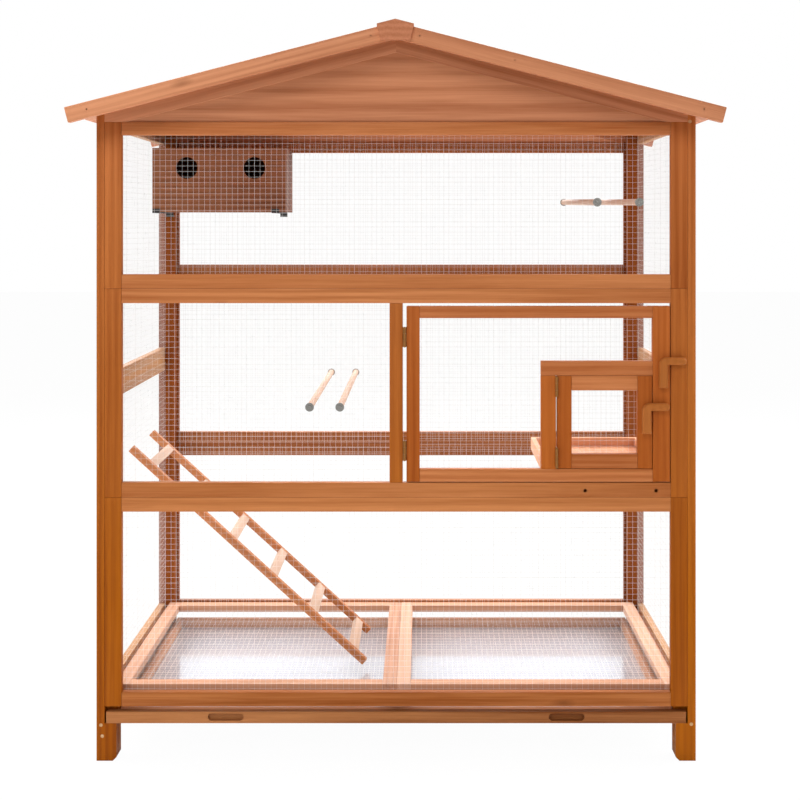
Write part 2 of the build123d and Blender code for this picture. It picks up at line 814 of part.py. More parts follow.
# Floor: two frames with nets under them, on cleats and a centre bearer
floor_edge = inner_width - floor_side_gap
floor_y = post_back - sheet_gap
floor_bars = []
floor_nets = []
for side in (LEFT, RIGHT):
    outer = across(side, floor_edge - floor_bar, floor_edge)
    inner = across(side, sheet_gap / 2, sheet_gap / 2 + floor_bar)
    between = across(side, sheet_gap / 2 + floor_bar, floor_edge - floor_bar)
    z = (floor_net_top, floor_net_top + board)
    floor_bars += [
        bar(outer, (-floor_y, floor_y), z),
        bar(inner, (-floor_y, floor_y), z),
        bar(between, (-floor_y, -floor_y + floor_bar), z),
        bar(between, (floor_y - floor_bar, floor_y), z),
    ]
    net_span = sorted(across(side, floor_bearer / 2 + sheet_gap, inner_width - board - sheet_gap))
    floor_nets += net_z(net_span, (-floor_y, floor_y), floor_net_top)
save("floor_frames", floor_bars)
save("floor_nets", floor_nets)
bearer_z = (floor_net_top - bearer_height, floor_net_top)
bearer_y = half_depth - board - net_thickness
bearers = [bar((-floor_bearer / 2, floor_bearer / 2), (-bearer_y, bearer_y), bearer_z)]
bearers += [
    bar(across(side, inner_width - board, inner_width), (-post_back, post_back), bearer_z)
    for side in (LEFT, RIGHT)
]
save("floor_bearers", bearers)

# Drawer under the floor, on two runners between the posts
runner_top = drawer_bottom - sheet_gap
runners = [
    bar(
        across(side, inner_width - runner_width, inner_width),
        (-post_back, post_back),
        (runner_top - runner_height, runner_top),
    )
    for side in (LEFT, RIGHT)
]
save("drawer_runners", runners)
drawer_front_half = half_width - drawer_front_inset
drawer_front = bar(
    (-drawer_front_half, drawer_front_half),
    (-half_depth, -half_depth + board - sheet_gap),
    (drawer_bottom, drawer_front_top),
)
for side in (LEFT, RIGHT):
    slot_face = Pos(side * (drawer_front_half - slot_from_end), slot_centre_height) * SlotOverall(slot_width, slot_height)
    slot_cut = extrude(Plane.XZ.offset(half_depth + overrun) * slot_face, amount=-(slot_depth + overrun))
    drawer_front = drawer_front - slot_cut
drawer_y = (-half_depth + board - sheet_gap, half_depth - drawer_back_gap)
drawer_half = half_width - drawer_side_inset
wall_z = (drawer_bottom + drawer_sheet, drawer_wall_top)
drawer_boards = [
    bar(across(side, drawer_half - drawer_wall, drawer_half), drawer_y, wall_z) for side in (LEFT, RIGHT)
]
between_walls = (-drawer_half + drawer_wall, drawer_half - drawer_wall)
for y in ((drawer_y[0], drawer_y[0] + drawer_wall), (drawer_y[1] - drawer_wall, drawer_y[1])):
    drawer_boards.append(bar(between_walls, y, wall_z))
save("drawer_front", [drawer_front])
save("drawer_box", drawer_boards)
save("drawer_sheet", [bar((-drawer_half, drawer_half), drawer_y, (drawer_bottom, wall_z[0]))])

# Nest box on two hooks in the back left corner
nest_left = -inner_width + net_thickness + sheet_gap
nest_x = (nest_left, nest_left + nest_width)
nest_back = post_back - sheet_gap
nest_bottom = upper_top - nest_drop
nest_y = (nest_back - nest_depth, nest_back)
nest_z = (nest_bottom, nest_bottom + nest_height)
behind_front = (nest_y[0] + nest_board, nest_y[1])
inside_x = (nest_x[0] + nest_board, nest_x[1] - nest_board)
inside_z = (nest_z[0] + nest_board, nest_z[1] - nest_board)
nest_boards = [
    bar(nest_x, behind_front, (nest_z[0], inside_z[0])),
    bar(nest_x, behind_front, (inside_z[1], nest_z[1])),
    bar((nest_x[0], inside_x[0]), behind_front, inside_z),
    bar((inside_x[1], nest_x[1]), behind_front, inside_z),
    bar(inside_x, (nest_y[1] - nest_board, nest_y[1]), inside_z),
]
nest_centre = sum(nest_x) / 2 + nest_hole_offset
nest_front = bar(nest_x, (nest_y[0], behind_front[0]), nest_z)
for side in (LEFT, RIGHT):
    hole_x = nest_centre + side * nest_hole_spacing / 2
    hole_y = (nest_y[0] - overrun, behind_front[0] + overrun)
    nest_front = nest_front - rod_y(hole_x, nest_bottom + nest_hole_height, nest_hole_radius, hole_y)
save("nest_box", nest_boards)
save("nest_box_front", [nest_front])


def nest_hook(x, wall):
    """A flat bracket under the nest box, with a lip at the front and a tail on what carries it."""
    front = nest_y[0] - sheet_gap
    points = [
        (front - hook_thickness, nest_bottom + hook_lip),
        (front, nest_bottom + hook_lip),
        (front, nest_bottom),
        (wall, nest_bottom),
        (wall, nest_bottom - hook_tail),
        (wall - hook_thickness, nest_bottom - hook_tail),
        (wall - hook_thickness, nest_bottom - hook_thickness),
        (front - hook_thickness, nest_bottom - hook_thickness),
    ]
    return profile_x(points, (x - hook_width / 2, x + hook_width / 2))


net_face = half_depth - board - net_thickness
hook_on_post = nest_hook(-half_width + hook_post_inset, post_back)
hook_on_net = nest_hook(nest_x[1] - hook_net_inset, net_face)
save("nest_box_hooks", [hook_on_post, hook_on_net])
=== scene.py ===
import bpy
import math
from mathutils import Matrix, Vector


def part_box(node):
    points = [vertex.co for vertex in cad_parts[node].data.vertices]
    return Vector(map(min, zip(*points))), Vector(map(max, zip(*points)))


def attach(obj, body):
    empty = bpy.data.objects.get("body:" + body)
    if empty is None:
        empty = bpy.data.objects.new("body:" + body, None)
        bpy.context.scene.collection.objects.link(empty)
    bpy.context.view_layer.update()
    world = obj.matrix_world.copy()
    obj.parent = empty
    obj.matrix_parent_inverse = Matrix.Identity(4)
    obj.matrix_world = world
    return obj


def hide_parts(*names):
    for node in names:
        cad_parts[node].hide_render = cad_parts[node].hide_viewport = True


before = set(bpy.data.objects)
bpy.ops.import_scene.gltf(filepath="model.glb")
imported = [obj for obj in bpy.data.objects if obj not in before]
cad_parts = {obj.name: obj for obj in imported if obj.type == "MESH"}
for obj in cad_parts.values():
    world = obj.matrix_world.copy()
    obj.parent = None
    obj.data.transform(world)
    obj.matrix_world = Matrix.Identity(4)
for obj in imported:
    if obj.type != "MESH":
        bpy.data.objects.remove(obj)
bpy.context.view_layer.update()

# Camera. It stands in front of the cage, a little right of the middle and
# at three quarters of its height, and looks straight at the back. The shift
# keeps the posts upright while the whole cage fits in the picture.
camera_place = (0.061, -3.265, 1.216)
camera_lens = 57.5
camera_shift = (-0.02875, -0.21875)
camera_film_width = 36
camera_sight = 60
bpy.ops.object.select_all(action="DESELECT")
bpy.ops.object.camera_add(location=camera_place, rotation=(math.radians(90), 0, 0))
camera = bpy.context.object
camera.data.lens = camera_lens
camera.data.sensor_width = camera_film_width
camera.data.shift_x = camera_shift[0]
camera.data.shift_y = camera_shift[1]
camera.data.clip_end = camera_sight
bpy.context.scene.camera = camera
bpy.context.scene.view_settings.view_transform = "Standard"

# Studio. A white sweep of floor and air, bright to the camera so that the cage
# stands free, with broad soft lamps at the front, the sides and overhead.
studio_white = (0.9, 0.9, 0.9, 1)
pure_white = (1, 1, 1, 1)
floor_size = 40
floor_glow = 0.97
air_strength = 0.55
lamps = [
    ("front lamp", (-1.0, -4.0, 4.0), (52, 0, -14), (2.4, 1.8), 106),
    ("left lamp", (-3.2, 0.4, 2.7), (57, 0, -90), (2.6, 2.0), 150),
    ("right lamp", (3.2, 0.4, 2.7), (57, 0, 90), (2.6, 2.0), 150),
    ("top lamp", (0.0, 0.8, 4.4), (-8, 0, 0), (3.4, 3.0), 70),
    ("back lamp", (0.0, 3.4, 3.2), (-50, 0, 0), (3.4, 2.0), 220),
]
for lamp_name, place, turn, size, power in lamps:
    rotation = [math.radians(angle) for angle in turn]
    bpy.ops.object.light_add(type="AREA", location=place, rotation=rotation)
    lamp = bpy.context.object
    lamp.name = lamp_name
    lamp.data.shape = "RECTANGLE"
    lamp.data.size = size[0]
    lamp.data.size_y = size[1]
    lamp.data.energy = power
    lamp.visible_camera = False

bpy.ops.mesh.primitive_plane_add(size=floor_size)
floor = bpy.context.object
floor.name = "studio_floor"
floor_paint = bpy.data.materials.new("studio floor")
floor_paint.use_nodes = True
nodes, links = floor_paint.node_tree.nodes, floor_paint.node_tree.links
nodes.clear()
ray = nodes.new("ShaderNodeLightPath")
matt = nodes.new("ShaderNodeBsdfDiffuse")
matt.inputs["Color"].default_value = studio_white
glow = nodes.new("ShaderNodeEmission")
glow.inputs["Color"].default_value = pure_white
share = nodes.new("ShaderNodeMath")
share.operation = "MULTIPLY"
share.inputs[1].default_value = floor_glow
mix = nodes.new("ShaderNodeMixShader")
out = nodes.new("ShaderNodeOutputMaterial")
links.new(ray.outputs["Is Camera Ray"], share.inputs[0])
links.new(share.outputs[0], mix.inputs["Fac"])
links.new(matt.outputs[0], mix.inputs[1])
links.new(glow.outputs[0], mix.inputs[2])
links.new(mix.outputs[0], out.inputs["Surface"])
floor.data.materials.append(floor_paint)

world = bpy.data.worlds.new("studio air")
bpy.context.scene.world = world
world.use_nodes = True
nodes, links = world.node_tree.nodes, world.node_tree.links
nodes.clear()
ray = nodes.new("ShaderNodeLightPath")
soft = nodes.new("ShaderNodeBackground")
soft.inputs["Strength"].default_value = air_strength
white = nodes.new("ShaderNodeBackground")
white.inputs["Color"].default_value = pure_white
clear = nodes.new("ShaderNodeMath")
clear.operation = "MAXIMUM"
seen = nodes.new("ShaderNodeMath")
seen.operation = "MAXIMUM"
mix = nodes.new("ShaderNodeMixShader")
out = nodes.new("ShaderNodeOutputWorld")
links.new(ray.outputs["Is Camera Ray"], seen.inputs[0])
links.new(ray.outputs["Is Glossy Ray"], seen.inputs[1])
links.new(seen.outputs[0], clear.inputs[0])
links.new(ray.outputs["Is Transmission Ray"], clear.inputs[1])
links.new(clear.outputs[0], mix.inputs["Fac"])
links.new(soft.outputs[0], mix.inputs[1])
links.new(white.outputs[0], mix.inputs[2])
links.new(mix.outputs[0], out.inputs["Surface"])

# Corner posts. Square fir, stained orange brown, each in two lengths with a
# rebate for the frames. Their solids are kept and get the stain, whose
# grain, rings and knots come from one group that all the timber uses.
grain_group = bpy.data.node_groups.new("timber grain", "ShaderNodeTree")
for socket, kind in (("Board", "NodeSocketVector"), ("Ring Size", "NodeSocketFloat")):
    grain_group.interface.new_socket(name=socket, in_out="INPUT", socket_type=kind)
for socket in ("Fibre", "Rings", "Knots", "Tone", "Height"):
    grain_group.interface.new_socket(name=socket, in_out="OUTPUT", socket_type="NodeSocketFloat")
nodes, links = grain_group.nodes, grain_group.links
board_in = nodes.new("NodeGroupInput")
grain_out = nodes.new("NodeGroupOutput")


def stretched(tree, vector, stretch):
    """The board's coordinates, drawn out along the grain."""
    mapping = tree.nodes.new("ShaderNodeMapping")
    mapping.inputs["Scale"].default_value = stretch
    tree.links.new(vector, mapping.inputs["Vector"])
    return mapping.outputs[0]


def noise(tree, vector, scale, detail, roughness=0.5, distortion=0.0):
    """A cloud of values over the timber."""
    cloud = tree.nodes.new("ShaderNodeTexNoise")
    cloud.inputs["Scale"].default_value = scale
    cloud.inputs["Detail"].default_value = detail
    cloud.inputs["Roughness"].default_value = roughness
    cloud.inputs["Distortion"].default_value = distortion
    tree.links.new(vector, cloud.inputs["Vector"])
    return cloud.outputs["Fac"]


def spread(tree, value, low, high, to_low=0.0, to_high=1.0):
    """A value stretched between two limits."""
    limits = tree.nodes.new("ShaderNodeMapRange")
    limits.inputs["From Min"].default_value = low
    limits.inputs["From Max"].default_value = high
    limits.inputs["To Min"].default_value = to_low
    limits.inputs["To Max"].default_value = to_high
    tree.links.new(value, limits.inputs["Value"])
    return limits.outputs["Result"]


def combine(tree, operation, first, second):
    """Two values added or multiplied."""
    sum_node = tree.nodes.new("ShaderNodeMath")
    sum_node.operation = operation
    for place, value in ((0, first), (1, second)):
        if isinstance(value, float):
            sum_node.inputs[place].default_value = value
        else:
            tree.links.new(value, sum_node.inputs[place])
    return sum_node.outputs[0]


board_space = board_in.outputs["Board"]
fibre_stretch, bend_stretch, ring_stretch = (6, 260, 260), (1.2, 9, 9), (0.55, 7, 7)
knot_stretch, tone_stretch = (2.6, 8, 8), (0.8, 3, 3)
cloud_low, cloud_high = 0.3, 0.7
bend_low, bend_high = 0.35, 0.65
ring_waver, ring_ripple = 2.6, 1.4
faintest_ring = 0.35
knot_radius = 0.085
ring_relief = 0.6
fibre_space = stretched(grain_group, board_space, fibre_stretch)
fibre_cloud = noise(grain_group, fibre_space, scale=1.0, detail=4, roughness=0.6)
fibre = spread(grain_group, fibre_cloud, cloud_low, cloud_high)
bend = noise(grain_group, stretched(grain_group, board_space, bend_stretch), scale=1.0, detail=2)
wave = nodes.new("ShaderNodeTexWave")
wave.wave_type = "RINGS"
wave.rings_direction = "X"
wave.inputs["Distortion"].default_value = ring_waver
wave.inputs["Detail"].default_value = 2
wave.inputs["Detail Scale"].default_value = ring_ripple
links.new(stretched(grain_group, board_space, ring_stretch), wave.inputs["Vector"])
links.new(board_in.outputs["Ring Size"], wave.inputs["Scale"])
ring_share = spread(grain_group, bend, bend_low, bend_high, to_low=faintest_ring)
rings = combine(grain_group, "MULTIPLY", wave.outputs["Fac"], ring_share)
spots = nodes.new("ShaderNodeTexVoronoi")
spots.inputs["Scale"].default_value = 1.0
spots.inputs["Randomness"].default_value = 1.0
links.new(stretched(grain_group, board_space, knot_stretch), spots.inputs["Vector"])
knots = spread(grain_group, spots.outputs["Distance"], 0.0, knot_radius, to_low=1.0, to_high=0.0)
tone_cloud = noise(grain_group, stretched(grain_group, board_space, tone_stretch), scale=1.0, detail=1)
tone = spread(grain_group, tone_cloud, cloud_low, cloud_high)
height = combine(grain_group, "ADD", fibre, combine(grain_group, "MULTIPLY", rings, ring_relief))
grain_values = {"Fibre": fibre, "Rings": rings, "Knots": knots, "Tone": tone, "Height": height}
for socket, value in grain_values.items():
    links.new(value, grain_out.inputs[socket])


def linear(red, green, blue):
    """A paint chip's colour, as the shader needs it."""
    return tuple((part / 255) ** 2.2 for part in (red, green, blue)) + (1,)


level_tint = linear(222, 158, 112)
level_tint_share = 0.4
knot_brown = linear(92, 46, 18)
usual_knots = 0.6
ring_size = 3.2
foot_level, roof_level = 0.35, 1.45
tone_depth, fibre_depth, ring_depth = 0.55, 0.25, 0.35
smooth_timber, rough_timber = 0.42, 0.6
timber_sheen = 0.08
grain_relief, grain_rise = 0.25, 0.0006


def stained_timber(
    name, low_light, low_dark, high_light, high_dark, grain_along=None, knot_share=usual_knots
):
    """Stained fir: lighter and darker tones at the foot and under the roof, with grain and knots."""
    paint = bpy.data.materials.new(name)
    paint.use_nodes = True
    tree = paint.node_tree
    shader = tree.nodes["Principled BSDF"]
    place = tree.nodes.new("ShaderNodeTexCoord")
    if grain_along is None:
        board = tree.nodes.new("ShaderNodeAttribute")
        board.attribute_name = "grain"
        vector = board.outputs["Vector"]
        level = tree.nodes.new("ShaderNodeAttribute")
        level.attribute_name = "level"
        level_share = combine(tree, "MULTIPLY", level.outputs["Fac"], level_tint_share)
    else:
        level_share = level_tint_share if grain_along == "x" else 0.0
        split = tree.nodes.new("ShaderNodeSeparateXYZ")
        join = tree.nodes.new("ShaderNodeCombineXYZ")
        tree.links.new(place.outputs["Object"], split.inputs[0])
        order = {"x": "XYZ", "y": "YXZ", "z": "ZXY"}[grain_along]
        for socket, axis in zip("XYZ", order):
            tree.links.new(split.outputs[axis], join.inputs[socket])
        vector = join.outputs[0]
    grain = tree.nodes.new("ShaderNodeGroup")
    grain.node_tree = grain_group
    grain.inputs["Ring Size"].default_value = ring_size
    tree.links.new(vector, grain.inputs["Board"])

    def blend(fac, first, second):
        mixer = tree.nodes.new("ShaderNodeMix")
        mixer.data_type = "RGBA"
        for socket, value in (("Factor", fac), ("A", first), ("B", second)):
            kind = "VALUE" if socket == "Factor" else "RGBA"
            target = [s for s in mixer.inputs if s.name == socket and s.type == kind][0]
            if isinstance(value, (tuple, float)):
                target.default_value = value
            else:
                tree.links.new(value, target)
        return [s for s in mixer.outputs if s.type == "RGBA"][0]

    up = tree.nodes.new("ShaderNodeSeparateXYZ")
    tree.links.new(place.outputs["Object"], up.inputs[0])
    height_share = spread(tree, up.outputs["Z"], foot_level, roof_level)
    light = blend(level_share, blend(height_share, low_light, high_light), level_tint)
    dark = blend(height_share, low_dark, high_dark)
    tone_mix = combine(tree, "MULTIPLY", grain.outputs["Tone"], tone_depth)
    fine = combine(tree, "MULTIPLY", grain.outputs["Fibre"], fibre_depth)
    broad = combine(tree, "MULTIPLY", grain.outputs["Rings"], ring_depth)
    shade = combine(tree, "ADD", tone_mix, combine(tree, "ADD", fine, broad))
    body = blend(shade, light, dark)
    knot = combine(tree, "MULTIPLY", grain.outputs["Knots"], knot_share)
    tree.links.new(blend(knot, body, knot_brown), shader.inputs["Base Color"])
    polish = spread(tree, grain.outputs["Fibre"], 0, 1, smooth_timber, rough_timber)
    tree.links.new(polish, shader.inputs["Roughness"])
    shader.inputs["Specular IOR Level"].default_value = timber_sheen
    bump = tree.nodes.new("ShaderNodeBump")
    bump.inputs["Strength"].default_value = grain_relief
    bump.inputs["Distance"].default_value = grain_rise
    tree.links.new(grain.outputs["Height"], bump.inputs["Height"])
    tree.links.new(bump.outputs[0], shader.inputs["Normal"])
    return paint


def even_stain(name, light, dark, grain_along=None, knot_share=usual_knots):
    """A stain with the same two tones at every height."""
    return stained_timber(name, light, dark, light, dark, grain_along, knot_share)


foot_light, foot_dark = linear(168, 94, 10), linear(118, 56, 3)
roof_light, roof_dark = linear(188, 114, 66), linear(140, 73, 33)
frame_stain = stained_timber("orange brown stain", foot_light, foot_dark, roof_light, roof_dark)
upright_stain = stained_timber("stain on uprights", foot_light, foot_dark, roof_light, roof_dark, "z")
# The back frames and back posts take a darker, duller copy of the same stain. The stain is real; the
# darkening is painted shade for the back, which is seen through the nets in the cage's shade.
painted_shade_light, painted_shade_dark = linear(146, 78, 34), linear(112, 56, 24)
back_stain_with_painted_shade = even_stain("stain on the back, darkened with painted shade", painted_shade_light, painted_shade_dark)
back_upright_stain_with_painted_shade = even_stain("stain on back posts, darkened with painted shade", painted_shade_light, painted_shade_dark, "z")
lengthwise_stain = stained_timber(
    "stain on lengthwise boards", foot_light, foot_dark, roof_light, roof_dark, "y"
)


def paint_node(node, paint):
    """Gives a kept solid its finish."""
    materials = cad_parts[node].data.materials
    materials.clear()
    materials.append(paint)


for side in ("left", "right"):
    for end in ("front", "back"):
        # The back posts get the copy of the stain darkened with painted shade.
        paint_node(end + "_" + side + "_post", back_upright_stain_with_painted_shade if end == "back" else upright_stain)

# Front and back frames. Three on each face, one on top of the other: two
# stiles that run through with rails between them, planed on all sides
# with the sharp edges taken off, and a mullion in the front middle one.
board_edge = 0.0013
board_edge_steps = 2
smooth_angle = math.radians(35)
grain_steps = (2.37, 0.83, 0.59)
grain_spans = (11, 5, 3)
boards_made = []


def add_board(low, high, along, tilt=0.0, cuts=()):
    """One planed board between two corners, turned about Y if it slopes, and trimmed by saw cuts."""
    bpy.ops.object.select_all(action="DESELECT")
    middle = [(a + b) / 2 for a, b in zip(low, high)]
    bpy.ops.mesh.primitive_cube_add(size=1)
    board = bpy.context.object
    board.scale = [b - a for a, b in zip(low, high)]
    bpy.ops.object.transform_apply(location=True, rotation=True, scale=True)
    bpy.ops.object.mode_set(mode="EDIT")
    bpy.ops.mesh.select_all(action="SELECT")
    bpy.ops.mesh.bevel(offset=board_edge, segments=board_edge_steps, affect="EDGES")
    bpy.ops.object.mode_set(mode="OBJECT")
    order = {"x": (0, 1, 2), "y": (1, 0, 2), "z": (2, 0, 1)}[along]
    number = len(boards_made)
    start = [number * step % span for step, span in zip(grain_steps, grain_spans)]
    grain = board.data.attributes.new("grain", "FLOAT_VECTOR", "POINT")
    for vertex in board.data.vertices:
        grain.data[vertex.index].vector = [vertex.co[axis] + begin for axis, begin in zip(order, start)]
    level = board.data.attributes.new("level", "FLOAT", "POINT")
    for value in level.data:
        value.value = 1.0 if along == "x" else 0.0
    board.rotation_euler = (0, tilt, 0)
    board.location = middle
    bpy.ops.object.transform_apply(location=True, rotation=True, scale=True)
    for point, normal in cuts:
        bpy.ops.object.mode_set(mode="EDIT")
        bpy.ops.mesh.select_all(action="SELECT")
        bpy.ops.mesh.bisect(plane_co=point, plane_no=normal, use_fill=True, clear_outer=True)
        bpy.ops.object.mode_set(mode="OBJECT")
    boards_made.append(board.name)
    return board


def fit(boards, name, node, body, paint):
    """Joins the boards of one node, gives them their finish and puts them in the solid's place."""
    bpy.ops.object.select_all(action="DESELECT")
    for board in boards:
        board.select_set(True)
    bpy.context.view_layer.objects.active = boards[0]
    if len(boards) > 1:
        bpy.ops.object.join()
    piece = bpy.context.object
    piece.name = name
    piece.data.materials.clear()
    piece.data.materials.append(paint)
    bpy.ops.object.shade_smooth_by_angle(angle=smooth_angle)
    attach(piece, body)
    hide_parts(node)
    return piece


def frame_boards(low, high, left, right, bottom, top):
    """Two stiles and two rails of a frame that faces the front or the back."""
    inner = (low[0] + left, high[0] - right)
    return [
        add_board(low, (inner[0], high[1], high[2]), "z"),
        add_board((inner[1], low[1], low[2]), high, "z"),
        add_board((inner[0], low[1], low[2]), (inner[1], high[1], low[2] + bottom), "x"),
        add_board((inner[0], low[1], high[2] - top), (inner[1], high[1], high[2]), "x"),
    ]


stile_widths = {"front": 0.0385, "back": 0.033}
rail_heights = {"lower": (0.032, 0.0325), "middle": (0.0335, 0.033), "upper": (0.0325, 0.030)}
mullion_width = 0.030
for end in ("front", "back"):
    for tier, (bottom, top) in rail_heights.items():
        node = end + "_" + tier + "_frame"
        low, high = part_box(node)
        boards = frame_boards(low, high, stile_widths[end], stile_widths[end], bottom, top)
        if node == "front_middle_frame":
            mullion_low = (-mullion_width / 2, low[1], low[2] + bottom)
            mullion_high = (mullion_width / 2, high[1], high[2] - top)
            boards.append(add_board(mullion_low, mullion_high, "z"))
        # The back frames get the copy of the stain darkened with painted shade.
        fit(boards, node + "_boards", node, "cage", back_stain_with_painted_shade if end == "back" else frame_stain)

# Side rails. Three on each side, of the same timber, fixed between the posts
# at the foot, at half height and under the roof.
side_light, side_dark = linear(190, 142, 98), linear(162, 110, 64)
side_stain = even_stain("thin stain on side rails", side_light, side_dark)
side_rail_spans = ((0.086, 0.155), (0.809, 0.872))
side_top_rail = 0.032
for side in ("left", "right"):
    node = side + "_rails"
    low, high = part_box(node)
    rail_spans = side_rail_spans + ((high[2] - side_top_rail, high[2]),)
    rails = [
        add_board((low[0], low[1], bottom), (high[0], high[1], top), "y")
        for bottom, top in rail_spans
    ]
    fit(rails, node + "_boards", node, "cage", side_stain)

# Gable. A wide board closes the triangle under the roof at each end, between
# a level rail and two rafters that are mitred under the ridge.
gable_light, gable_dark = linear(198, 132, 100), linear(152, 92, 62)
roof_stain = even_stain("stain on the roof", gable_light, gable_dark)
ridge_stain = even_stain("stain on the ridge", gable_light, gable_dark, "y")
roof_slope = math.radians(14.45)
roof_peak = 1.6646
roof_thickness = 0.015
rafter_height = 0.040
eave_reach = 0.732
ridge_overrun = 0.05


def sloping_board(side, drop_top, drop_bottom, low_y, high_y, cuts=(), along="x"):
    """A board under the roof line on one side, cut plumb at the ridge and square at the eave."""
    length = eave_reach / math.cos(roof_slope)
    thickness = drop_bottom - drop_top
    down = (side * math.cos(roof_slope), -math.sin(roof_slope))
    inward = (-side * math.sin(roof_slope), -math.cos(roof_slope))
    reach = (length - ridge_overrun) / 2
    depth = (drop_top + drop_bottom) / 2
    middle_x = down[0] * reach + inward[0] * depth
    middle_z = roof_peak + down[1] * reach + inward[1] * depth
    half = ((length + ridge_overrun) / 2, (high_y - low_y) / 2, thickness / 2)
    middle = (middle_x, (low_y + high_y) / 2, middle_z)
    low = [centre - size for centre, size in zip(middle, half)]
    high = [centre + size for centre, size in zip(middle, half)]
    ridge_cut = ((0, 0, 0), (-side, 0, 0))
    return add_board(low, high, along, side * roof_slope, (ridge_cut,) + tuple(cuts))


gable_low, gable_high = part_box("gable_boards")
gable_thickness = 0.012
gable_slope_normal = (math.sin(roof_slope), 0, math.cos(roof_slope))
gable_pieces = []
for low_y in (gable_low[1], gable_high[1] - gable_thickness):
    cuts = [
        ((0, 0, gable_high[2]), (side * gable_slope_normal[0], 0, gable_slope_normal[2])) for side in (-1, 1)
    ]
    corner_low = (gable_low[0], low_y, gable_low[2])
    corner_high = (gable_high[0], low_y + gable_thickness, gable_high[2])
    gable_pieces.append(add_board(corner_low, corner_high, "x", cuts=cuts))
fit(gable_pieces, "gable_board_pair", "gable_boards", "cage", roof_stain)

rafter_low, rafter_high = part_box("rafters")
rafter_thickness = 0.018
rafter_pieces = []
for side in (-1, 1):
    for low_y in (rafter_low[1], rafter_high[1] - rafter_thickness):
        cuts = [((0, 0, rafter_low[2]), (0, 0, -1)), ((side * rafter_high[0], 0, 0), (side, 0, 0))]
        rafter_pieces.append(sloping_board(
            side, roof_thickness, roof_thickness + rafter_height, low_y, low_y + rafter_thickness, cuts
        ))
fit(rafter_pieces, "rafter_set", "rafters", "cage", roof_stain)

# Roof. Each slope is a panel of narrow boards laid edge to edge down the slope,
# with a barge board nailed over its front and back edges, and an angle
# moulding with a small shaped plate at each end over the ridge.
plank_count = 9
for side, side_name in ((-1, "left"), (1, "right")):
    node = side_name + "_roof_panel"
    low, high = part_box(node)
    plank = (high[1] - low[1]) / plank_count
    planks = [
        sloping_board(side, 0, roof_thickness, low[1] + plank * number, low[1] + plank * (number + 1))
        for number in range(plank_count)
    ]
    fit(planks, node + "_planks", node, "cage", roof_stain)

barge_low, barge_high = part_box("barge_boards")
barge_height = 0.035
barge_thickness = 0.018
barge_pieces = [
    sloping_board(side, 0, barge_height, low_y, low_y + barge_thickness)
    for side in (-1, 1)
    for low_y in (barge_low[1], barge_high[1] - barge_thickness)
]
fit(barge_pieces, "barge_board_set", "barge_boards", "cage", roof_stain)
paint_node("ridge_cap", ridge_stain)
paint_node("ridge_end_plates", ridge_stain)

# Nets. Welded steel wire with half inch openings, galvanised, stapled inside
# the frames. Each sheet is two layers of thin straight wires.
wire_radius = 0.0002
wire_pitch = 0.0127
wire_sides = 6


def speckled(name, dull, bright, scale, detail, roughness, metallic=0.0, stretch=None):
    """A metal finish: two tones and a polish that vary in spots, drawn out where it was rolled."""
    paint = bpy.data.materials.new(name)
    paint.use_nodes = True
    tree = paint.node_tree
    shader = tree.nodes["Principled BSDF"]
    vector = tree.nodes.new("ShaderNodeTexCoord").outputs["Object"]
    if stretch:
        vector = stretched(tree, vector, stretch)
    speckle = noise(tree, vector, scale, detail)
    ramp = tree.nodes.new("ShaderNodeValToRGB")
    ramp.color_ramp.elements[0].color = dull
    ramp.color_ramp.elements[1].color = bright
    tree.links.new(speckle, ramp.inputs["Fac"])
    tree.links.new(ramp.outputs["Color"], shader.inputs["Base Color"])
    polish = spread(tree, speckle, cloud_low, cloud_high, *roughness)
    tree.links.new(polish, shader.inputs["Roughness"])
    shader.inputs["Metallic"].default_value = metallic
    return paint


wire_dull, wire_bright = (0.66, 0.64, 0.62, 1), (0.78, 0.76, 0.74, 1)
wire_steel = speckled(
    "galvanised wire", wire_dull, wire_bright, scale=60, detail=2, roughness=(0.25, 0.4), metallic=0.2
)


def add_wires(low, high, along, step_axis, layer_axis, layer):
    """Parallel wires across a rectangle: one rod, and an array of it."""
    bpy.ops.object.select_all(action="DESELECT")
    length = high[along] - low[along]
    middle = [(a + b) / 2 for a, b in zip(low, high)]
    count = int((high[step_axis] - low[step_axis]) / wire_pitch) + 1
    slack = (high[step_axis] - low[step_axis] - (count - 1) * wire_pitch) / 2
    middle[step_axis] = low[step_axis] + slack
    middle[layer_axis] = layer
    turn = {0: (0, math.radians(90), 0), 1: (math.radians(90), 0, 0), 2: (0, 0, 0)}[along]
    bpy.ops.mesh.primitive_cylinder_add(
        vertices=wire_sides, radius=wire_radius, depth=length, rotation=turn, location=middle
    )
    wires = bpy.context.object
    bpy.ops.object.transform_apply(location=True, rotation=True, scale=True)
    bpy.ops.object.modifier_add(type="ARRAY")
    array = wires.modifiers[0]
    array.count = count
    array.use_relative_offset = False
    array.use_constant_offset = True
    array.constant_offset_displace = [wire_pitch if axis == step_axis else 0 for axis in range(3)]
    bpy.ops.object.modifier_apply(modifier=array.name)
    return wires


def net_wires(low, high, flat_axis, outer):
    """The two layers of one net, the first against the timber that carries it."""
    axes = [axis for axis in range(3) if axis != flat_axis]
    toward = 1 if outer == low[flat_axis] else -1
    layers = (outer + toward * wire_radius, outer + toward * 3 * wire_radius)
    return [
        add_wires(low, high, axes[1], axes[0], flat_axis, layers[0]),
        add_wires(low, high, axes[0], axes[1], flat_axis, layers[1]),
    ]


for end in ("front", "back"):
    for tier in ("lower", "middle", "upper"):
        node = end + "_" + tier + "_net"
        low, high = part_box(node)
        outer = low[1] if end == "front" else high[1]
        fit(net_wires(low, high, 1, outer), node + "_wires", node, "cage", wire_steel)

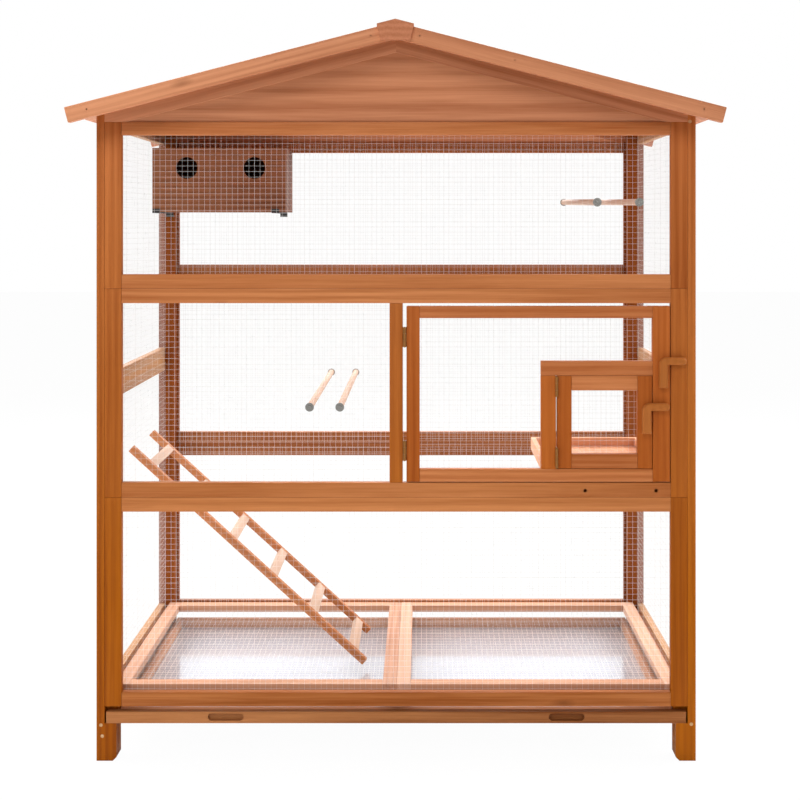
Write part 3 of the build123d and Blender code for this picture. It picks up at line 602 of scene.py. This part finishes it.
lower_net_top, upper_net_foot = 0.834, 0.847
for side in ("left", "right"):
    node = side + "_nets"
    low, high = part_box(node)
    outer = low[0] if side == "left" else high[0]
    wires = net_wires(low, (high[0], high[1], lower_net_top), 0, outer)
    wires += net_wires((low[0], low[1], upper_net_foot), high, 0, outer)
    fit(wires, node + "_wires", node, "cage", wire_steel)

# Floor. Two light frames side by side with a net under each, carried by two
# cleats and a centre bearer, so that what the birds drop falls through.
floor_bar = 0.032
low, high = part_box("floor_frames")
floor_seam = 0.00015
floor_boards = []
for side in (-1, 1):
    x = sorted((side * floor_seam, side * high[0]))
    inner_x = (x[0] + floor_bar, x[1] - floor_bar)
    floor_boards += [
        add_board((x[0], low[1], low[2]), (inner_x[0], high[1], high[2]), "y"),
        add_board((inner_x[1], low[1], low[2]), (x[1], high[1], high[2]), "y"),
        add_board((inner_x[0], low[1], low[2]), (inner_x[1], low[1] + floor_bar, high[2]), "x"),
        add_board((inner_x[0], high[1] - floor_bar, low[2]), (inner_x[1], high[1], high[2]), "x"),
    ]
pale_floor, dull_floor = linear(212, 172, 148), linear(176, 126, 98)
floor_stain = even_stain("thin stain on floor", pale_floor, dull_floor)
fit(floor_boards, "floor_frame_boards", "floor_frames", "cage", floor_stain)
low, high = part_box("floor_nets")
bearer_half = 0.0163
floor_wires = net_wires(low, (-bearer_half, high[1], high[2]), 2, high[2])
floor_wires += net_wires((bearer_half, low[1], low[2]), high, 2, high[2])
fit(floor_wires, "floor_net_wires", "floor_nets", "cage", wire_steel)
paint_node("floor_bearers", floor_stain)

# Drawer. A shallow tray with a wooden front, sides and back and a galvanised
# sheet nailed under them, which slides on two runners between the posts.
rolling_stretch = (2, 30, 2)
sheet_dull, sheet_bright = (0.66, 0.69, 0.76, 1), (0.71, 0.74, 0.81, 1)
sheet_steel = speckled(
    "galvanised sheet", sheet_dull, sheet_bright, scale=1.0, detail=2, roughness=(0.08, 0.13),
    metallic=0.5, stretch=rolling_stretch,
)
paint_node("drawer_sheet", sheet_steel)
drawer_light, drawer_dark = linear(140, 80, 12), linear(98, 48, 6)
drawer_stain = even_stain("stain on the drawer", drawer_light, drawer_dark, "x")
paint_node("drawer_front", drawer_stain)
paint_node("drawer_runners", floor_stain)
drawer_wall = 0.016
low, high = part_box("drawer_box")
left_inside, right_inside = low[0] + drawer_wall, high[0] - drawer_wall
drawer_boards = [
    add_board(low, (left_inside, high[1], high[2]), "y"),
    add_board((right_inside, low[1], low[2]), high, "y"),
    add_board((left_inside, low[1], low[2]), (right_inside, low[1] + drawer_wall, high[2]), "x"),
    add_board((left_inside, high[1] - drawer_wall, low[2]), (right_inside, high[1], high[2]), "x"),
]
box_light, box_dark = linear(200, 146, 112), linear(164, 110, 80)
box_stain = even_stain("thin stain on the drawer box", box_light, box_dark)
fit(drawer_boards, "drawer_box_boards", "drawer_box", "drawer", box_stain)

# Main door. A light frame, stained a little redder, in the right bay with a
# net behind it, and in its lower right corner a surround of two boards for
# the small door.
door_left, door_right, door_bottom, door_top = 0.030, 0.0395, 0.029, 0.0275
door_boards = frame_boards(*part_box("main_door_frame"), door_left, door_right, door_bottom, door_top)
door_light, door_dark = linear(168, 90, 22), linear(126, 58, 6)
door_top_light, door_top_dark = linear(184, 106, 60), linear(140, 70, 30)
door_stain = stained_timber("stain on doors", door_light, door_dark, door_top_light, door_top_dark)
fit(door_boards, "main_door_boards", "main_door_frame", "main_door", door_stain)
low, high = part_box("main_door_surround")
surround_stile, surround_rail = 0.034, 0.033
surround = [
    add_board((low[0], low[1], high[2] - surround_rail), high, "x"),
    add_board(low, (low[0] + surround_stile, high[1], high[2] - surround_rail), "z"),
]
fit(surround, "main_door_surround_boards", "main_door_surround", "main_door", door_stain)
net_overlap = 0.012
surround_right = low[0] + net_overlap
surround_top = high[2] - net_overlap
low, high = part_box("main_door_net")
door_wires = net_wires((low[0], low[1], surround_top), high, 1, low[1])
door_wires += net_wires(low, (surround_right, high[1], surround_top), 1, low[1])
fit(door_wires, "main_door_net_wires", "main_door_net", "main_door", wire_steel)

# Small door. A square frame of four boards with its own piece of net, over the
# food tray.
small_member = 0.033
low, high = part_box("small_door_frame")
small_boards = frame_boards(low, high, small_member, small_member, small_member, small_member)
fit(small_boards, "small_door_boards", "small_door_frame", "small_door", door_stain)
low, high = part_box("small_door_net")
small_wires = net_wires(low, high, 1, low[1])
fit(small_wires, "small_door_net_wires", "small_door_net", "small_door", wire_steel)

# Hinges. Small butt hinges of brassed steel, dulled by the stain, two on each
# door, with a pin through three knuckles.
tarnished, rubbed = linear(104, 66, 24), linear(146, 96, 40)
dull_brass = speckled(
    "dull brass", tarnished, rubbed, scale=180, detail=3, roughness=(0.35, 0.6), metallic=0.35
)
for node in (
    "main_hinge_fixed_halves", "main_hinge_door_halves", "small_hinge_fixed_halves", "small_hinge_door_halves"
):
    paint_node(node, dull_brass)

# Turn latches. Each is cut from one block of hardwood as an arm and a leg, well
# rounded at the outer corner and along the front edges, and turns on a
# countersunk screw that took the stain with it.
latch_arm_width, latch_leg_width = 0.017, 0.020
latch_outer_round, latch_end_round = 0.018, 0.0078
latch_edge_round = 0.0055
latch_pivot_from_end = 0.009
latch_hole_radius = 0.00405
latch_hole_depth = 0.0026
latch_shank_radius = 0.00205
latch_shank_run = 1.2
same_spot = 0.0006
corner_steps, edge_steps = 8, 4
bore_sides = 32
flat_angle = math.radians(1)


def round_corners(block, corners, radius):
    """Rounds the corners of a flat outline that lie at the given X and Z."""
    bpy.ops.object.mode_set(mode="EDIT")
    bpy.ops.mesh.select_all(action="DESELECT")
    bpy.ops.object.mode_set(mode="OBJECT")
    for vertex in block.data.vertices:
        spot = (vertex.co.x, vertex.co.z)
        vertex.select = any(math.dist(spot, corner) < same_spot for corner in corners)
    bpy.ops.object.mode_set(mode="EDIT")
    bpy.ops.mesh.bevel(offset=radius, offset_type="OFFSET", segments=corner_steps, affect="VERTICES")
    bpy.ops.object.mode_set(mode="OBJECT")


def push_edge(block, from_x, from_z, move):
    """Draws the outline's edge with the given middle out to a new place."""
    bpy.ops.object.mode_set(mode="EDIT")
    bpy.ops.mesh.select_mode(type="EDGE")
    bpy.ops.mesh.select_all(action="DESELECT")
    bpy.ops.object.mode_set(mode="OBJECT")
    for edge in block.data.edges:
        ends = [block.data.vertices[number].co for number in edge.vertices]
        middle = ((ends[0].x + ends[1].x) / 2, (ends[0].z + ends[1].z) / 2)
        edge.select = math.dist(middle, (from_x, from_z)) < same_spot
    bpy.ops.object.mode_set(mode="EDIT")
    bpy.ops.mesh.extrude_edges_move(TRANSFORM_OT_translate={"value": move})
    bpy.ops.mesh.select_mode(type="VERT")
    bpy.ops.object.mode_set(mode="OBJECT")


def latch_block(low, high):
    """An arm and a leg in one outline, given its thickness and its round edges."""
    bpy.ops.object.select_all(action="DESELECT")
    corner_low = (low[0], high[2] - latch_arm_width)
    corner_high = (low[0] + latch_leg_width, high[2])
    middle = [(a + b) / 2 for a, b in zip(corner_low, corner_high)]
    place = (middle[0], high[1], middle[1])
    bpy.ops.mesh.primitive_plane_add(size=1, rotation=(math.radians(90), 0, 0), location=place)
    block = bpy.context.object
    block.scale = (latch_leg_width, latch_arm_width, 1)
    bpy.ops.object.transform_apply(location=True, rotation=True, scale=True)
    push_edge(block, corner_high[0], middle[1], (high[0] - corner_high[0], 0, 0))
    push_edge(block, middle[0], corner_low[1], (0, 0, low[2] - corner_low[1]))
    round_corners(block, [(low[0], high[2])], latch_outer_round)
    round_corners(block, [(high[0], high[2]), (high[0], corner_low[1])], latch_end_round)
    bpy.ops.object.mode_set(mode="EDIT")
    bpy.ops.mesh.select_all(action="SELECT")
    bpy.ops.mesh.dissolve_limited(angle_limit=flat_angle)
    bpy.ops.mesh.select_all(action="SELECT")
    bpy.ops.mesh.extrude_region_move(TRANSFORM_OT_translate={"value": (0, low[1] - high[1], 0)})
    bpy.ops.mesh.select_all(action="SELECT")
    bpy.ops.mesh.normals_make_consistent(inside=False)
    bpy.ops.mesh.select_all(action="DESELECT")
    bpy.ops.object.mode_set(mode="OBJECT")
    for edge in block.data.edges:
        depths = [block.data.vertices[number].co.y for number in edge.vertices]
        edge.select = all(abs(depth - low[1]) < same_spot for depth in depths)
    bpy.ops.object.mode_set(mode="EDIT")
    bpy.ops.mesh.select_mode(type="EDGE")
    bpy.ops.mesh.bevel(offset=latch_edge_round, segments=edge_steps, affect="EDGES")
    bpy.ops.mesh.select_mode(type="VERT")
    bpy.ops.object.mode_set(mode="OBJECT")
    return block


def bore(block, place, radius, depth):
    """Drills a round hole along Y."""
    bpy.ops.object.select_all(action="DESELECT")
    bpy.ops.mesh.primitive_cylinder_add(
        vertices=bore_sides, radius=radius, depth=depth * 2, rotation=(math.radians(90), 0, 0),
        location=place,
    )
    drill = bpy.context.object
    bpy.ops.object.transform_apply(location=True, rotation=True, scale=True)
    bpy.ops.object.select_all(action="DESELECT")
    bpy.context.view_layer.objects.active = block
    block.select_set(True)
    bpy.ops.object.modifier_add(type="BOOLEAN")
    cut = block.modifiers[0]
    cut.object = drill
    cut.operation = "DIFFERENCE"
    cut.solver = "EXACT"
    bpy.ops.object.modifier_apply(modifier=cut.name)
    bpy.data.objects.remove(drill)


latch_light, latch_dark = linear(158, 94, 46), linear(142, 80, 36)
latch_stain = even_stain("stain on latches", latch_light, latch_dark, "z", knot_share=0.0)
for node in ("upper_latch", "lower_latch"):
    low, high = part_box(node)
    block = latch_block(low, high)
    pivot = (high[0] - latch_pivot_from_end, low[1], high[2] - latch_arm_width / 2)
    bore(block, pivot, latch_hole_radius, latch_hole_depth)
    bore(block, pivot, latch_shank_radius, (high[1] - low[1]) * latch_shank_run)
    fit([block], node + "_block", node, node, latch_stain)
    paint_node(node + "_screw", latch_stain)

# Screws and nails. Zinc plated steel with a warm cast, heads set flush in the
# timber.
zinc_dull, zinc_bright = linear(140, 98, 58), linear(196, 158, 112)
zinc_steel = speckled(
    "zinc plated steel", zinc_dull, zinc_bright, scale=240, detail=3, roughness=(0.3, 0.5), metallic=0.3
)
for node in ("frame_screws", "barge_nails"):
    paint_node(node, zinc_steel)

# Washers on the perch ends. Pressed from bright steel sheet, each with a
# round screw head in the middle that holds the perch on the nets.
washer_dull, washer_bright = (0.2, 0.19, 0.17, 1), (0.36, 0.35, 0.33, 1)
washer_steel = speckled(
    "bright washer steel", washer_dull, washer_bright, scale=300, detail=2, roughness=(0.16, 0.28),
    metallic=1.0,
)
paint_node("perch_fixings", washer_steel)

# Food tray. Five thin boards make an open box on two brackets behind the
# bottom rail of the middle frame.
tray_wall, tray_floor = 0.012, 0.010
low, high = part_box("food_tray")
wall_low = low[2] + tray_floor
front_inside, back_inside = low[1] + tray_wall, high[1] - tray_wall
tray_boards = [
    add_board(low, (high[0], high[1], wall_low), "y"),
    add_board((low[0], low[1], wall_low), (high[0], front_inside, high[2]), "x"),
    add_board((low[0], back_inside, wall_low), high, "x"),
    add_board((low[0], front_inside, wall_low), (low[0] + tray_wall, back_inside, high[2]), "y"),
    add_board((high[0] - tray_wall, front_inside, wall_low), (high[0], back_inside, high[2]), "y"),
]
tray_light, tray_dark = linear(236, 182, 148), linear(206, 146, 110)
few_knots = 0.2
tray_stain = even_stain("thin stain on the tray", tray_light, tray_dark, knot_share=few_knots)
fit(tray_boards, "food_tray_boards", "food_tray", "cage", tray_stain)
paint_node("food_tray_brackets", lengthwise_stain)

# Perches and ladder. Round dowels run from the front net to the back net, and
# a ladder of square rails and rungs leans from the left side to the floor.
pale_light, pale_dark = linear(210, 182, 162), linear(186, 150, 126)
rail_light, rail_dark = linear(196, 128, 82), linear(160, 92, 50)
perch_stain = even_stain("thin stain on perches", pale_light, pale_dark, "y", few_knots)
rung_stain = even_stain("thin stain on rungs", pale_light, pale_dark, knot_share=few_knots)
rail_stain = even_stain("stain on ladder rails", rail_light, rail_dark, knot_share=few_knots)
paint_node("perches", perch_stain)
ladder_tilt = math.radians(42.4)
ladder_length = 0.7745
ladder_rail = 0.017
first_rung, last_rung = 0.0635, 0.0385
rung_width = 0.022
rung_count = 6
low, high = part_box("ladder_rails")
ladder_down = (math.cos(ladder_tilt), -math.sin(ladder_tilt))
ladder_over = (math.sin(ladder_tilt), math.cos(ladder_tilt))
ladder_foot = (low[0] + ladder_length * ladder_down[0], low[2])


def ladder_board(start, end, low_y, high_y, along):
    """A length of ladder timber, measured down from the ladder's top."""
    back = ladder_length - (start + end) / 2
    x = ladder_foot[0] - back * ladder_down[0] + ladder_over[0] * ladder_rail / 2
    z = ladder_foot[1] - back * ladder_down[1] + ladder_over[1] * ladder_rail / 2
    half = (end - start) / 2
    return add_board(
        (x - half, low_y, z - ladder_rail / 2), (x + half, high_y, z + ladder_rail / 2), along, ladder_tilt
    )


rails = [
    ladder_board(0, ladder_length, low_y, low_y + ladder_rail, "x")
    for low_y in (low[1], high[1] - ladder_rail)
]
rung_step = (ladder_length - first_rung - last_rung) / (rung_count - 1)
rung_middles = [first_rung + rung_step * number for number in range(rung_count)]
rungs = [
    ladder_board(
        middle - rung_width / 2, middle + rung_width / 2,
        low[1] + ladder_rail, high[1] - ladder_rail, "y",
    )
    for middle in rung_middles
]
fit(rails, "ladder_rail_pair", "ladder_rails", "cage", rail_stain)
fit(rungs, "ladder_rung_set", "ladder_rungs", "cage", rung_stain)

# Nest box. A plain box of thin boards with two round holes for the birds, on
# two flat black brackets in the back left corner.
# The nest box's stain is made darker for the shade it sits in, in the back corner under the roof. The stain
# is its own; the darkening is painted shade.
nest_light_with_painted_shade, nest_dark_with_painted_shade = linear(118, 68, 52), linear(88, 50, 38)
nest_stain_with_painted_shade = even_stain("nest box stain, darkened with painted shade", nest_light_with_painted_shade, nest_dark_with_painted_shade, "x")
paint_node("nest_box", nest_stain_with_painted_shade)
paint_node("nest_box_front", nest_stain_with_painted_shade)
clean_black, dusty_black = (0.012, 0.012, 0.012, 1), (0.05, 0.048, 0.045, 1)
black_paint = speckled(
    "black bracket paint", clean_black, dusty_black, scale=90, detail=3, roughness=(0.4, 0.65)
)
paint_node("nest_box_hooks", black_paint)
